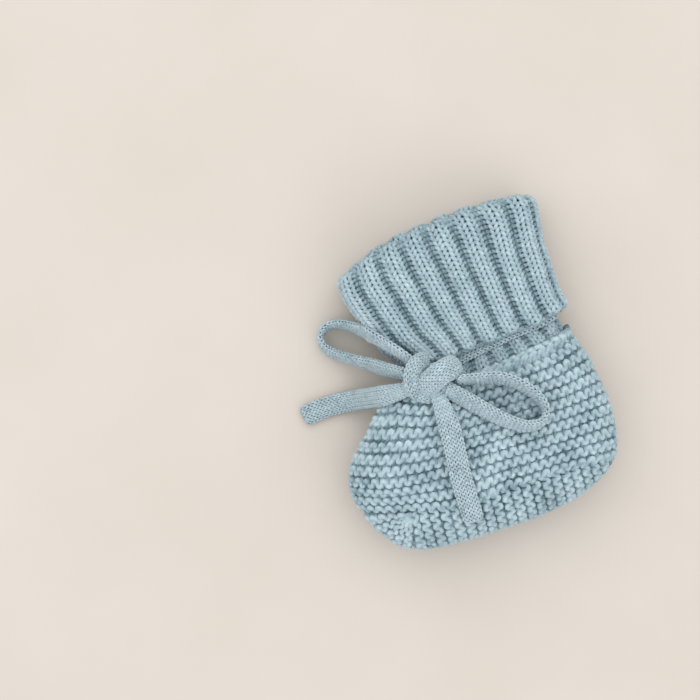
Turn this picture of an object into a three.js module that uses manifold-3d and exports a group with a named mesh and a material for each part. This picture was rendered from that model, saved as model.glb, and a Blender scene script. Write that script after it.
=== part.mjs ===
// Baby bootie, knitted, lying on its side: garter-stitch foot, sewn-in sole strip, ribbed ankle and leg with the top
// turned down as a cuff, and a flat tie through the ankle band, tied in a bow.
// Millimetres. +X along the sole to the heel, +Y up the leg, +Z up from the surface that the bootie lies on.
import * as THREE from 'three';
import { mergeVertices } from 'three/addons/utils/BufferGeometryUtils.js';
import Module from 'manifold-3d';

const wasm = await Module();
wasm.setup();

// ---- driving dimensions ----
const ORIGIN = [-5.438, 6.511];     // the row origin, in the outline's own coordinates
const FOOT_MID_Z = 15.6;         // middle plane of the foot's thickness
const FOOT_TOP = 16.0;           // middle plane to the top face
const FOOT_BOTTOM = 16.5;        // middle plane to the underside, before it flattens on the surface
const FOOT_TOP_ROUND = 2.6;      // fullness of the top face
const FOOT_BOTTOM_ROUND = 4.0;   // fullness of the underside
const WALL = 2.6;                // garter-stitch wall
const RIB_WALL = 3.0;            // ribbed wall
const LEG_ORIGIN = [6.8, 15.5];  // on the leg's centre line at the cuff's free edge
const LEG_TILT = 8.7;            // degrees, leg leans to the toe
const LEG_MID_Z = 12.4;
const CUFF_HALF = 12.1;          // half the thickness of the flattened cuff, outside
const CUFF_ROUND = 3.4;
const GAP = 0.35;                // between touching pieces
const CORD_WIDTH = 7.2;
const CORD_THICK = 3.0;
const SEAM_YARN = 1.5;           // sewing yarn

// outline of the foot with the ankle, toe to sole to heel to ankle
const FOOT_OUTLINE = [[-27.5, 10.2], [-33.8, 5.8], [-39.2, 0.2], [-45.6, -6.8], [-50.8, -12.9], [-53.1, -19.1], [-52.7, -24.2],
  [-50.9, -29.6], [-46.9, -37.9], [-41.2, -43.9], [-33.8, -47.0], [-21.8, -48], [-4.6, -48], [11.4, -47.2], [22.9, -44.4],
  [31.0, -41.2], [36.6, -37.4], [40.2, -31.6], [41.5, -24.5], [41.5, -16], [41.2, -10.4], [39.4, 0], [36.4, 8.7], [32.0, 15.0],
  [20, 17.2], [0, 16.6], [-18, 14.6]];
const FOOT_CENTRE = [-4, -17];
// where the garter stitch ends and the ankle band starts
const ANKLE_LINE = [[-30, 14.5], [-24.5, 9.6], [-13.4, 4.6], [5.3, 5.4], [25.8, 7.6], [33.5, 11.4], [40, 14.4]];
// seam between the near side and the sole strip, heel to toe
const SEAM_LINE = [[44, -35.9], [37.1, -35.7], [33.9, -35.2], [25.4, -33.9], [15.6, -33.6], [5.8, -34.2], [-1.8, -33.6],
  [-11, -35.2], [-22, -34.6], [-32.6, -32.2], [-40, -29.0], [-47, -24.6], [-56, -20.0]];
// turned-down cuff, half-widths left and right of the leg's centre line
const CUFF_LEFT = [[-4, 26.0], [2, 26.8], [6, 29.2], [12.8, 33.2], [24, 35.4], [34, 37.1], [41, 36.6], [46, 35.0]];
const CUFF_RIGHT = [[-4, 29.0], [0, 29.9], [9.8, 30.8], [22.9, 32.4], [35.2, 36.1], [40, 36.1], [46, 34.8]];
const CUFF_TOP_LINE = [[-40, 49.0], [-34.5, 51.0], [-24, 55.6], [-11.5, 58.4], [5.7, 60.4], [20, 61.1], [30, 60.9], [35.8, 59.6], [42, 58.2]];
const CUFF_BOTTOM_LINE = [[-40, 22.5], [-26, 18.6], [-21, 16.0], [-14.5, 14.3], [-3, 13.9], [10.1, 14.3], [23.7, 16.1], [36, 18.3], [42, 19.4]];
// the leg and the ankle, under the cuff
const LEG_LEFT = [[-18, 37], [-12, 31.5], [-7, 27.4], [-3, 23.6], [2, 23.2], [6, 25.4], [12.8, 29.2], [24, 31.5], [34, 33.2], [41, 32.7], [46, 31.2]];
const LEG_RIGHT = [[-18, 31], [-12, 29.3], [-7, 26.6], [-3, 25.2], [0, 25.8], [9.8, 27.0], [22.9, 28.6], [35.2, 32.2], [40, 32.2], [46, 31.0]];
const LEG_HALF = [[-18, 13.2], [-11, 12.0], [-6, 9.6], [-2, 8.75], [46, 8.75]];
const LEG_Z = [[-18, 14.6], [-11, 14.0], [-6, 12.9], [-2, 12.4], [46, 12.4]];

const tilt = LEG_TILT * Math.PI / 180;
const legE = [-Math.sin(tilt), Math.cos(tilt)];
const legP = [Math.cos(tilt), Math.sin(tilt)];

// ---- helpers ----
const lerpTable = (t, x) => {
  if (x <= t[0][0]) return t[0][1];
  for (let i = 1; i < t.length; i++) {
    if (x <= t[i][0]) {
      const k = (x - t[i - 1][0]) / (t[i][0] - t[i - 1][0]);
      const e = k * k * (3 - 2 * k) * 0.5 + k * 0.5;
      return t[i - 1][1] + (t[i][1] - t[i - 1][1]) * e;
    }
  }
  return t[t.length - 1][1];
};
const smooth2 = (pts, closed, n) => new THREE.CatmullRomCurve3(pts.map(p => new THREE.Vector3(p[0], p[1], 0)), closed, 'centripetal')
  .getPoints(n).map(p => [p.x, p.y]);

function toSolid(geometry) {
  const g0 = geometry.clone();
  g0.deleteAttribute('normal');
  g0.deleteAttribute('uv');
  const g = mergeVertices(g0, 1e-4);
  return new wasm.Manifold(new wasm.Mesh({
    numProp: 3,
    vertProperties: new Float32Array(g.attributes.position.array),
    triVerts: new Uint32Array(g.index.array),
  }));
}
function toGeometry(solid) {
  const m = solid.getMesh();
  const g = new THREE.BufferGeometry();
  g.setAttribute('position', new THREE.BufferAttribute(new Float32Array(m.vertProperties), 3));
  g.setIndex(new THREE.BufferAttribute(new Uint32Array(m.triVerts), 1));
  g.computeVertexNormals();
  return g;
}
// a slab of the given plan outline between two heights
function prism(pts, z0 = -20, z1 = 60) {
  const shape = new THREE.Shape(pts.map(p => new THREE.Vector2(p[0], p[1])));
  const g = new THREE.ExtrudeGeometry(shape, { depth: z1 - z0, bevelEnabled: false });
  g.translate(0, 0, z0);
  return toSolid(g);
}

// distance from the foot's centre to its outline, by direction
const footRing = (() => {
  const pts = smooth2(FOOT_OUTLINE, true, 480).slice(0, -1);
  return pts.map(p => [Math.atan2(p[1] - FOOT_CENTRE[1], p[0] - FOOT_CENTRE[0]), Math.hypot(p[0] - FOOT_CENTRE[0], p[1] - FOOT_CENTRE[1])])
    .sort((a, b) => a[0] - b[0]);
})();
function footRadius(th) {
  const n = footRing.length;
  let i = footRing.findIndex(r => r[0] >= th);
  if (i < 0) i = 0;
  const b = footRing[i], a = footRing[(i - 1 + n) % n];
  let d = b[0] - a[0], k = th - a[0];
  if (d < 0) d += 2 * Math.PI;
  if (k < 0) k += 2 * Math.PI;
  return a[1] + (b[1] - a[1]) * (d > 1e-9 ? Math.min(1, k / d) : 0);
}
// the foot as a filled form, grown or shrunk by off; its underside is flat where it lies on the surface
function footSolid(off, nu = 38, nv = 14) {
  const g = new THREE.SphereGeometry(1, nu, nv);
  g.rotateX(Math.PI / 2);
  const pos = g.attributes.position;
  for (let i = 0; i < pos.count; i++) {
    const x = pos.getX(i), y = pos.getY(i), z = pos.getZ(i);
    const rho = Math.min(1, Math.hypot(x, y));
    const th = Math.atan2(y, x);
    const up = z >= 0;
    const n = up ? FOOT_TOP_ROUND : FOOT_BOTTOM_ROUND;
    const h = up ? FOOT_TOP + off : FOOT_BOTTOM + off;
    const r = rho < 1e-6 ? 0 : (footRadius(th) + off * 1.05) * Math.pow(rho, 2 / n);
    let zz = FOOT_MID_Z + (Math.abs(z) < 1e-6 ? 0 : Math.sign(z) * h * Math.pow(Math.abs(z), 2 / n));
    zz = Math.max(zz, -off);
    pos.setXYZ(i, FOOT_CENTRE[0] + r * Math.cos(th), FOOT_CENTRE[1] + r * Math.sin(th), zz);
  }
  return toSolid(g);
}
// a flattened tube form along the leg, closed at both ends
function legSolid(left, right, half, mid, off, s0, s1, round = CUFF_ROUND, nu = 32, nv = 8) {
  const g = new THREE.CylinderGeometry(1, 1, 1, nu, nv, false);
  const pos = g.attributes.position;
  for (let i = 0; i < pos.count; i++) {
    const x = pos.getX(i), y = pos.getZ(i), k = pos.getY(i) + 0.5;
    const s = s0 + (s1 - s0) * k;
    const r = Math.hypot(x, y);
    const c = r < 1e-6 ? 0 : x / r, d = r < 1e-6 ? 0 : y / r;
    const a = (c < 0 ? lerpTable(left, s) : lerpTable(right, s)) + off;
    const b = lerpTable(half, s) + off;
    const p = r * a * Math.sign(c) * Math.pow(Math.abs(c), 2 / round);
    const q = r * b * Math.sign(d) * Math.pow(Math.abs(d), 2 / round);
    pos.setXYZ(i, LEG_ORIGIN[0] + legP[0] * p + legE[0] * s, LEG_ORIGIN[1] + legP[1] * p + legE[1] * s, lerpTable(mid, s) + q);
  }
  const solid = toSolid(g);
  return solid;
}
// a cord of a rounded flat section along a path; wide is across the path, tall is along +Z on level ground
function cordGeometry(path, wide, tall, sides, steps) {
  const curve = new THREE.CatmullRomCurve3(path.map(p => new THREE.Vector3(...p)), false, 'centripetal');
  // the section's short side follows +Z at the middle of the route
  const frames = curve.computeFrenetFrames(steps, false);
  const m = Math.floor(steps / 2);
  const up = new THREE.Vector3(0, 0, 1).addScaledVector(frames.tangents[m], -frames.tangents[m].z).normalize();
  const turn = Math.atan2(up.dot(frames.binormals[m]), up.dot(frames.normals[m]));
  const pts = [];
  for (let i = 0; i < sides; i++) {
    const a = 2 * Math.PI * (i + 0.5) / sides;
    const x = 0.5 * tall * Math.cos(a) / Math.cos(Math.PI / sides), y = 0.5 * wide * Math.sin(a) / Math.cos(Math.PI / sides);
    pts.push(new THREE.Vector2(x * Math.cos(turn) - y * Math.sin(turn), x * Math.sin(turn) + y * Math.cos(turn)));
  }
  return new THREE.ExtrudeGeometry(new THREE.Shape(pts), { steps, extrudePath: curve, bevelEnabled: false });
}

// ---- foot ----
const footOut = footSolid(0);
const footIn = footSolid(-WALL);
let footShell = footOut.subtract(footIn);
const ankleCurve = smooth2(ANKLE_LINE, false, 12);
const aboveAnkle = prism([...ankleCurve, [60, 40], [-60, 40], [-60, 30], [-36, 20]]);
const aboveAnkleGap = prism([...ankleCurve.map(p => [p[0] + 0.02, p[1] - GAP]), [60, 40], [-60, 40], [-60, 30], [-36, 20 - GAP]]);
footShell = footShell.subtract(aboveAnkleGap);

// seam yarns, along the top and the bottom edge of the sole strip
function onFootTop(x, y, off = 0) {
  const dx = x - FOOT_CENTRE[0], dy = y - FOOT_CENTRE[1];
  const rho = Math.min(0.9995, Math.hypot(dx, dy) / (footRadius(Math.atan2(dy, dx)) + off));
  return FOOT_MID_Z + (FOOT_TOP + off) * Math.pow(1 - Math.pow(rho, FOOT_TOP_ROUND), 1 / FOOT_TOP_ROUND);
}
function onFootBottom(x, y, off = 0) {
  const dx = x - FOOT_CENTRE[0], dy = y - FOOT_CENTRE[1];
  const rho = Math.min(0.9995, Math.hypot(dx, dy) / (footRadius(Math.atan2(dy, dx)) + off));
  return Math.max(-off, FOOT_MID_Z - (FOOT_BOTTOM + off) * Math.pow(1 - Math.pow(rho, FOOT_BOTTOM_ROUND), 1 / FOOT_BOTTOM_ROUND));
}
const seamCurve = smooth2(SEAM_LINE, false, 20);
const belowSeam = prism([...seamCurve, [-70, -20], [-70, -60], [60, -60], [60, -36]]);
const seamPath = smooth2(SEAM_LINE.slice(1, 10), false, 22);
const seamIn = -SEAM_YARN * 0.42;
const nearSeamPath = seamPath.slice(1, -1).map(p => [p[0], p[1], onFootTop(p[0], p[1], seamIn)]);
const farSeamPath = seamPath.slice(1, -1).map(p => [p[0], p[1], Math.max(onFootBottom(p[0], p[1], seamIn), SEAM_YARN * 0.55)]);
const nearSeam = cordGeometry(nearSeamPath, SEAM_YARN, SEAM_YARN, 8, 18);
const farSeam = cordGeometry(farSeamPath, SEAM_YARN, SEAM_YARN, 8, 18);
const nearGroove = toSolid(cordGeometry(nearSeamPath, SEAM_YARN + 2 * GAP, SEAM_YARN + 2 * GAP, 8, 18));
const farGroove = toSolid(cordGeometry(farSeamPath, SEAM_YARN + 2 * GAP, SEAM_YARN + 2 * GAP, 8, 18));
// the back seam, down the middle of the heel
const backPath = [];
for (let i = 0; i <= 10; i++) {
  const y = 6.5 - i * 4.0;
  const th = Math.atan2(y - FOOT_CENTRE[1], 41 - FOOT_CENTRE[0]);
  const r = footRadius(th) + seamIn;
  backPath.push([FOOT_CENTRE[0] + r * Math.cos(th), FOOT_CENTRE[1] + r * Math.sin(th), FOOT_MID_Z]);
}
const backSeam = cordGeometry(backPath, SEAM_YARN, SEAM_YARN, 8, 9);
const backGroove = toSolid(cordGeometry(backPath, SEAM_YARN + 2 * GAP, SEAM_YARN + 2 * GAP, 8, 9));

const grooves = nearGroove.add(farGroove).add(backGroove);
const belowSeamGap = prism([...seamCurve.map(p => [p[0], p[1] + GAP]), [-70, -20 + GAP], [-70, -60], [60, -60], [60, -36]]);
const sole = footShell.intersect(belowSeam).subtract(grooves);
const sides = footShell.subtract(belowSeamGap).subtract(grooves);
const farHalf = prism([[-80, -80], [80, -80], [80, 80], [-80, 80]], -5, FOOT_MID_Z);
const farHalfGap = prism([[-80, -80], [80, -80], [80, 80], [-80, 80]], -5, FOOT_MID_Z + GAP);
const farSide = sides.intersect(farHalf);
const nearSide = sides.subtract(farHalfGap);

// ---- leg: ankle band, leg and turned-down cuff ----
const legOut = legSolid(LEG_LEFT, LEG_RIGHT, LEG_HALF, LEG_Z, 0, -16, 46.4);
const legIn = legSolid(LEG_LEFT, LEG_RIGHT, LEG_HALF, LEG_Z, -RIB_WALL, -20, 50);
const bottomCurve = smooth2(CUFF_BOTTOM_LINE, false, 12);
const topCurve = smooth2(CUFF_TOP_LINE, false, 12);
const aboveBottom = prism([...bottomCurve, [70, 90], [-70, 90], [-70, 30]]);
const aboveBottomGap = prism([...bottomCurve.map(p => [p[0], p[1] - GAP]), [70, 90], [-70, 90], [-70, 30 - GAP]]);
const belowTop = prism([...topCurve, [60, -60], [-60, -60], [-60, 40]]);
const legTube = legOut.subtract(legIn).intersect(belowTop);
const ankleBand = legTube.intersect(aboveAnkle).subtract(aboveBottomGap);
const legRib = legTube.intersect(aboveBottom);
const HALF_TABLE = [[-10, CUFF_HALF], [50, CUFF_HALF]];
const MID_TABLE = [[-10, LEG_MID_Z], [50, LEG_MID_Z]];
const cuffOut = legSolid(CUFF_LEFT, CUFF_RIGHT, HALF_TABLE, MID_TABLE, 0, -5, 46);
const cuffIn = legSolid(LEG_LEFT, LEG_RIGHT, LEG_HALF, LEG_Z, GAP, -16, 46.4);
const cuff = cuffOut.subtract(cuffIn).intersect(aboveBottom).intersect(belowTop);

// ---- tie ----
// the run of the tie round the ankle, outside the band
const tieOut = legSolid(LEG_LEFT, LEG_RIGHT, LEG_HALF, LEG_Z, GAP + 1.8, -8.0, -2.5, CUFF_ROUND, 32, 2);
const tieIn = legSolid(LEG_LEFT, LEG_RIGHT, LEG_HALF, LEG_Z, GAP, -16, 46.4);
const ankleTie = tieOut.subtract(tieIn).intersect(aboveAnkle).subtract(prism([...ankleCurve.map(p => [p[0], p[1] + GAP]), [60, -40], [-60, -40], [-60, 14]]));

const KNOT = [-15.5, 8.3, 29.6];
const knotGeo = new THREE.SphereGeometry(1, 16, 10);
{
  const pos = knotGeo.attributes.position;
  for (let i = 0; i < pos.count; i++) {
    const v = new THREE.Vector3(pos.getX(i), pos.getY(i), pos.getZ(i));
    const n = 2.5;
    const l = Math.pow(Math.abs(v.x) ** n + Math.abs(v.y) ** n + Math.abs(v.z) ** n, 1 / n);
    v.divideScalar(l);
    pos.setXYZ(i, KNOT[0] + v.x * 9.2, KNOT[1] + v.y * 6.2, KNOT[2] + v.z * 5.2);
  }
}
const bulk = footSolid(GAP).add(legSolid(LEG_LEFT, LEG_RIGHT, LEG_HALF, LEG_Z, GAP, -16, 46))
  .add(legSolid(LEG_LEFT, LEG_RIGHT, LEG_HALF, LEG_Z, 2 * GAP + 1.8, -8.4, -2.1, CUFF_ROUND, 32, 2));
const knot = toSolid(knotGeo).subtract(bulk).subtract(legSolid(CUFF_LEFT, CUFF_RIGHT, HALF_TABLE, MID_TABLE, GAP, -5, 46).intersect(aboveBottomGap));

// height of the foot and the ankle under a point of the plan, or the surface beside them
function coverTop(x, y) {
  let z = 0;
  const dx = x - FOOT_CENTRE[0], dy = y - FOOT_CENTRE[1];
  if (Math.hypot(dx, dy) < footRadius(Math.atan2(dy, dx))) z = onFootTop(x, y);
  const lx = x - LEG_ORIGIN[0], ly = y - LEG_ORIGIN[1];
  const p = lx * legP[0] + ly * legP[1], s = lx * legE[0] + ly * legE[1];
  const a = (p < 0 ? lerpTable(LEG_LEFT, s) : lerpTable(LEG_RIGHT, s)) + 2.4;
  if (s > -16 && s < 46 && Math.abs(p) < a) {
    z = Math.max(z, lerpTable(LEG_Z, s) + (lerpTable(LEG_HALF, s) + (s > -7 && s < 3 ? 2.4 : 0)) * Math.pow(1 - Math.pow(Math.abs(p) / a, CUFF_ROUND), 1 / CUFF_ROUND));
  }
  return z;
}
// lifts a cord's route clear of what lies under its whole width
function clear(path, halfWide, halfTall) {
  const pts = new THREE.CatmullRomCurve3(path.map(p => new THREE.Vector3(...p)), false, 'centripetal').getPoints(28);
  const out = pts.map(v => {
    let z = v.z;
    const reach = halfWide + halfTall * 0.6;
    for (let a = 0; a < 12; a++) {
      for (const r of [reach, reach * 0.5]) {
        z = Math.max(z, coverTop(v.x + r * Math.cos(a * Math.PI / 6), v.y + r * Math.sin(a * Math.PI / 6)) + halfTall + GAP + 0.25);
      }
    }
    return [v.x, v.y, z];
  });
  for (let pass = 0; pass < 2; pass++) {
    const zs = out.map(p => p[2]);
    for (let i = 1; i < out.length - 1; i++) out[i][2] = Math.max(zs[i], (zs[i - 1] + zs[i + 1]) / 2);
  }
  return out;
}
// the free loops and tails of the bow; they lie on the foot, or fall beside it and rest on the surface
const LOOP_LEFT = [[-24.4, 18.2, 27.6], [-28.6, 23.2, 22.0], [-33.0, 28.0, 15.2], [-37.8, 32.2, 9.2], [-42.4, 34.6, 5.4], [-46.2, 36.0, 3.8],
  [-48.8, 33.4, 3.5], [-48.2, 29.4, 3.5], [-44.8, 25.2, 4.6], [-40.0, 22.0, 7.8], [-35.2, 18.8, 13.0], [-31.0, 15.8, 19.6], [-27.0, 13.4, 25.4]];
const TAIL_LEFT = [[-26.2, 6.4, 28.0], [-31.0, 6.4, 24.4], [-35.4, 7.0, 18.6], [-39.4, 7.8, 11.6], [-43.6, 8.6, 5.0], [-48.3, 9.1, 2.2], [-55.0, 9.2, 1.7], [-61.7, 8.4, 1.7]];
const LOOP_RIGHT = [[-4.2, 6.4, 31.6], [1.0, 4.2, 33.0], [6.5, 2.5, 34.6], [12.2, -1.6, 35.2], [16.2, -6.6, 35.2], [17.4, -11.6, 35.2], [15.2, -14.9, 35.2],
  [10.7, -15.1, 35.2], [5.4, -12.2, 35.4], [0.6, -7.6, 35.4], [-4.8, -2.4, 35.0]];
const TAIL_RIGHT = [[-13.8, 0.2, 33.6], [-14.4, -6.4, 34.2], [-15.0, -16.0, 34.2], [-15.8, -24.4, 33.8], [-15.8, -30.0, 32.4], [-15.7, -35.6, 29.8], [-15.7, -40.6, 26.2]];

// ---- scene ----
const root = new THREE.Group();
const move = new THREE.Group();
move.position.set(-ORIGIN[0], -ORIGIN[1], 0);
root.add(move);
const YARN = { color: 0x96b9c5, roughness: 0.92, metalness: 0 };
const CORD = { color: 0xa5bec8, roughness: 0.9, metalness: 0 };
const SEAM = { color: 0x7fa4b1, roughness: 0.92, metalness: 0 };
function add(name, geometry, look) {
  const mesh = new THREE.Mesh(geometry, new THREE.MeshStandardMaterial(look));
  mesh.name = name;
  move.add(mesh);
}
add('foot_near_side', toGeometry(nearSide), YARN);
add('foot_far_side', toGeometry(farSide), YARN);
add('sole_strip', toGeometry(sole), YARN);
add('ankle_band', toGeometry(ankleBand), YARN);
add('leg_rib', toGeometry(legRib), YARN);
add('cuff_turn_down', toGeometry(cuff), YARN);
add('sole_seam_near', nearSeam, SEAM);
add('sole_seam_far', farSeam, SEAM);
add('back_seam', backSeam, SEAM);
add('ankle_tie', toGeometry(ankleTie), CORD);
add('bow_knot', toGeometry(knot), CORD);
add('bow_loop_left', cordGeometry(clear(LOOP_LEFT, 1.5, 2.7), 3.0, 5.4, 8, 18), CORD);
add('bow_loop_right', cordGeometry(clear(LOOP_RIGHT, 1.5, 2.7), 3.0, 5.4, 8, 18), CORD);
add('bow_tail_left', cordGeometry(clear(TAIL_LEFT, 3.6, 1.5), CORD_WIDTH, CORD_THICK, 8, 10), CORD);
add('bow_tail_right', cordGeometry(clear(TAIL_RIGHT, 3.6, 1.5), CORD_WIDTH, CORD_THICK, 8, 10), CORD);

export default root;
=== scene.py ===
import math
import bpy
import numpy as np
from mathutils import Matrix, Vector


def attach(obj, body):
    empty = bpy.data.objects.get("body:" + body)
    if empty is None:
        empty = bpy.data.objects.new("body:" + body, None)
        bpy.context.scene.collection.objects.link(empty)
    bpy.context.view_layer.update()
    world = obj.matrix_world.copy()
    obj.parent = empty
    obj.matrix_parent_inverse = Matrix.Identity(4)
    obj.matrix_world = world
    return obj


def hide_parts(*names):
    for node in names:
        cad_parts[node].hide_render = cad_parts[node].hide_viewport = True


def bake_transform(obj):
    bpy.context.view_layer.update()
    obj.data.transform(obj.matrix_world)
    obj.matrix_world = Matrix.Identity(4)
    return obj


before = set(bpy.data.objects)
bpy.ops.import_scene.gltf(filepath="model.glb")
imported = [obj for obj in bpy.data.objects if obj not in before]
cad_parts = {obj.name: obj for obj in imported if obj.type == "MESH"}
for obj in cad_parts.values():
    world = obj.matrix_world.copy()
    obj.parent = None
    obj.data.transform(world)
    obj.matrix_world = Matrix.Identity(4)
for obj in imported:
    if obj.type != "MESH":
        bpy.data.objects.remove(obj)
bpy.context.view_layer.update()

rng = np.random.default_rng(7)

# The bootie's outlines below are in millimetres in its own plan; the row frame's origin is at (OX, OY) of that plan.
OX, OY = -5.438, 6.511


def metres(p):
    p = np.array(p, float)
    p[..., 0] -= OX
    p[..., 1] -= OY
    return p * 0.001


# ---------------------------------------------------------------- camera, light, floor
cam_data = bpy.data.cameras.new("camera")
cam = bpy.data.objects.new("camera", cam_data)
bpy.context.scene.collection.objects.link(cam)
bpy.context.scene.camera = cam
cam_data.lens = 85
cam_data.sensor_width = 36
DIST = 0.2415 * 85 / 36
centre = np.array([-0.0331 - 0.00036, 0.0199 - 0.00006, 0.018])
up = np.array([0.2924, 0.9563, 0.0])
right = np.array([0.9563, -0.2924, 0.0])
look = np.array([0, 0, 1.0])
cam.matrix_world = Matrix([[float(right[i]), float(up[i]), float(look[i]), float((centre + look * DIST)[i])] for i in range(3)] + [[0, 0, 0, 1]])


def light(name, kind, loc, aim, energy, size, color=(1, 1, 1)):
    d = bpy.data.lights.new(name, kind)
    o = bpy.data.objects.new(name, d)
    bpy.context.scene.collection.objects.link(o)
    o.location = loc
    o.rotation_euler = (Vector(aim) - Vector(loc)).to_track_quat("-Z", "Y").to_euler()
    d.energy = energy
    if kind == "AREA":
        d.shape = "DISK"
        d.size = size
    d.color = color
    return o


# the light comes from the picture's top, a little from the left
kd = up * 0.62 - right * 0.28
light("key", "AREA", tuple(kd * 0.70 + look * 1.22), (0, 0, 0), 9.6, 2.2, (1.0, 0.985, 0.965))
light("fill", "AREA", tuple(-up * 0.9 + right * 0.7 + look * 1.0), (0, 0, 0), 2.4, 1.2, (0.98, 0.99, 1.0))
world = bpy.data.worlds.new("studio")
bpy.context.scene.world = world
world.use_nodes = True
bg = world.node_tree.nodes["Background"]
bg.inputs["Color"].default_value = (0.97, 0.975, 1.0, 1)
bg.inputs["Strength"].default_value = 0.97
bpy.context.scene.view_settings.view_transform = "Standard"


# ---------------------------------------------------------------- materials
def mat_base(name):
    m = bpy.data.materials.new(name)
    m.use_nodes = True
    nt = m.node_tree
    return m, nt, nt.nodes["Principled BSDF"]


def yarn_material(name, deep, mid, pale, twist_mm, twist_bump, rough=0.88, sheen=0.25):
    m, nt, b = mat_base(name)
    N, L = nt.nodes, nt.links
    uv = N.new("ShaderNodeUVMap")
    uv.uv_map = "yarn"
    sep = N.new("ShaderNodeSeparateXYZ")
    L.new(uv.outputs["UV"], sep.inputs[0])
    # plies: a diagonal wave round the yarn
    ply = N.new("ShaderNodeMath")
    ply.operation = "MULTIPLY"
    ply.inputs[1].default_value = 2 * math.pi / twist_mm
    L.new(sep.outputs[0], ply.inputs[0])
    rnd = N.new("ShaderNodeMath")
    rnd.operation = "MULTIPLY"
    rnd.inputs[1].default_value = 2 * math.pi * 2
    L.new(sep.outputs[1], rnd.inputs[0])
    add = N.new("ShaderNodeMath")
    add.operation = "ADD"
    L.new(ply.outputs[0], add.inputs[0])
    L.new(rnd.outputs[0], add.inputs[1])
    sine = N.new("ShaderNodeMath")
    sine.operation = "SINE"
    L.new(add.outputs[0], sine.inputs[0])
    # fibres: fine noise
    tc = N.new("ShaderNodeTexCoord")
    fib = N.new("ShaderNodeTexNoise")
    fib.inputs["Scale"].default_value = 3800
    fib.inputs["Detail"].default_value = 3
    L.new(tc.outputs["Object"], fib.inputs["Vector"])
    big = N.new("ShaderNodeTexNoise")
    big.inputs["Scale"].default_value = 120
    big.inputs["Detail"].default_value = 4
    L.new(tc.outputs["Object"], big.inputs["Vector"])
    # the per-point value from the mesh (random tone per stitch plus painted shade by depth) moves the colour along the
    # ramp
    att = N.new("ShaderNodeAttribute")
    att.attribute_name = "tint"
    s1 = N.new("ShaderNodeMath")
    s1.operation = "MULTIPLY_ADD"
    s1.inputs[1].default_value = 0.06
    L.new(sine.outputs[0], s1.inputs[0])
    deepen = N.new("ShaderNodeMath")
    deepen.operation = "MULTIPLY_ADD"
    deepen.inputs[1].default_value = 1.7
    deepen.inputs[2].default_value = 0.31
    L.new(att.outputs["Fac"], deepen.inputs[0])
    L.new(deepen.outputs[0], s1.inputs[2])
    s2 = N.new("ShaderNodeMath")
    s2.operation = "MULTIPLY_ADD"
    s2.inputs[1].default_value = 0.16
    L.new(big.outputs["Fac"], s2.inputs[0])
    L.new(s1.outputs[0], s2.inputs[2])
    s3 = N.new("ShaderNodeMath")
    s3.operation = "MULTIPLY_ADD"
    s3.inputs[1].default_value = 0.22
    L.new(fib.outputs["Fac"], s3.inputs[0])
    L.new(s2.outputs[0], s3.inputs[2])
    # the ramp's dark end is the painted shade colour of the fabric's recesses
    ramp = N.new("ShaderNodeValToRGB")
    ramp.color_ramp.elements[0].position = 0.14
    ramp.color_ramp.elements[0].color = (*deep, 1)
    ramp.color_ramp.elements[1].position = 0.84
    ramp.color_ramp.elements[1].color = (*pale, 1)
    e = ramp.color_ramp.elements.new(0.50)
    e.color = (*mid, 1)
    L.new(s3.outputs[0], ramp.inputs["Fac"])
    L.new(ramp.outputs["Color"], b.inputs["Base Color"])
    b.inputs["Roughness"].default_value = rough
    b.inputs["Specular IOR Level"].default_value = 0.25
    b.inputs["Sheen Weight"].default_value = sheen
    b.inputs["Sheen Roughness"].default_value = 0.55
    b.inputs["Sheen Tint"].default_value = (0.85, 0.95, 1.0, 1)
    h = N.new("ShaderNodeMath")
    h.operation = "MULTIPLY_ADD"
    h.inputs[1].default_value = 0.55
    L.new(fib.outputs["Fac"], h.inputs[0])
    L.new(sine.outputs[0], h.inputs[2])
    bump = N.new("ShaderNodeBump")
    bump.inputs["Strength"].default_value = twist_bump
    bump.inputs["Distance"].default_value = 0.00016
    L.new(h.outputs[0], bump.inputs["Height"])
    L.new(bump.outputs["Normal"], b.inputs["Normal"])
    return m


def plain_cloth(name, color, scale=2200):
    m, nt, b = mat_base(name)
    N, L = nt.nodes, nt.links
    tc = N.new("ShaderNodeTexCoord")
    n = N.new("ShaderNodeTexNoise")
    n.inputs["Scale"].default_value = scale
    n.inputs["Detail"].default_value = 4
    L.new(tc.outputs["Object"], n.inputs["Vector"])
    ramp = N.new("ShaderNodeValToRGB")
    ramp.color_ramp.elements[0].color = (*[c * 0.6 for c in color], 1)
    ramp.color_ramp.elements[1].color = (*[min(1, c * 1.3) for c in color], 1)
    L.new(n.outputs["Fac"], ramp.inputs["Fac"])
    L.new(ramp.outputs["Color"], b.inputs["Base Color"])
    b.inputs["Roughness"].default_value = 0.95
    b.inputs["Specular IOR Level"].default_value = 0.1
    bump = N.new("ShaderNodeBump")
    bump.inputs["Strength"].default_value = 0.6
    bump.inputs["Distance"].default_value = 0.0003
    L.new(n.outputs["Fac"], bump.inputs["Height"])
    L.new(bump.outputs["Normal"], b.inputs["Normal"])
    return m


M_KNIT = yarn_material("garter_yarn", (0.085, 0.155, 0.188), (0.330, 0.446, 0.492), (0.500, 0.620, 0.668), 2.3, 0.55)
M_RIB = yarn_material("rib_yarn", (0.085, 0.155, 0.188), (0.330, 0.446, 0.492), (0.500, 0.620, 0.668), 1.9, 0.5)
M_CORD = yarn_material("cord_yarn", (0.095, 0.155, 0.182), (0.390, 0.496, 0.538), (0.570, 0.675, 0.715), 1.2, 0.45)
M_SEW = yarn_material("sewing_yarn", (0.12, 0.21, 0.25), (0.24, 0.36, 0.41), (0.38, 0.51, 0.56), 1.6, 0.5)
# dark backing materials: painted shade seen through the gaps in the knit and in the cords
M_SHADE = plain_cloth("knit_painted_shade", (0.085, 0.145, 0.172))
M_SHADE_CORD = plain_cloth("cord_painted_shade", (0.085, 0.140, 0.165))


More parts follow.
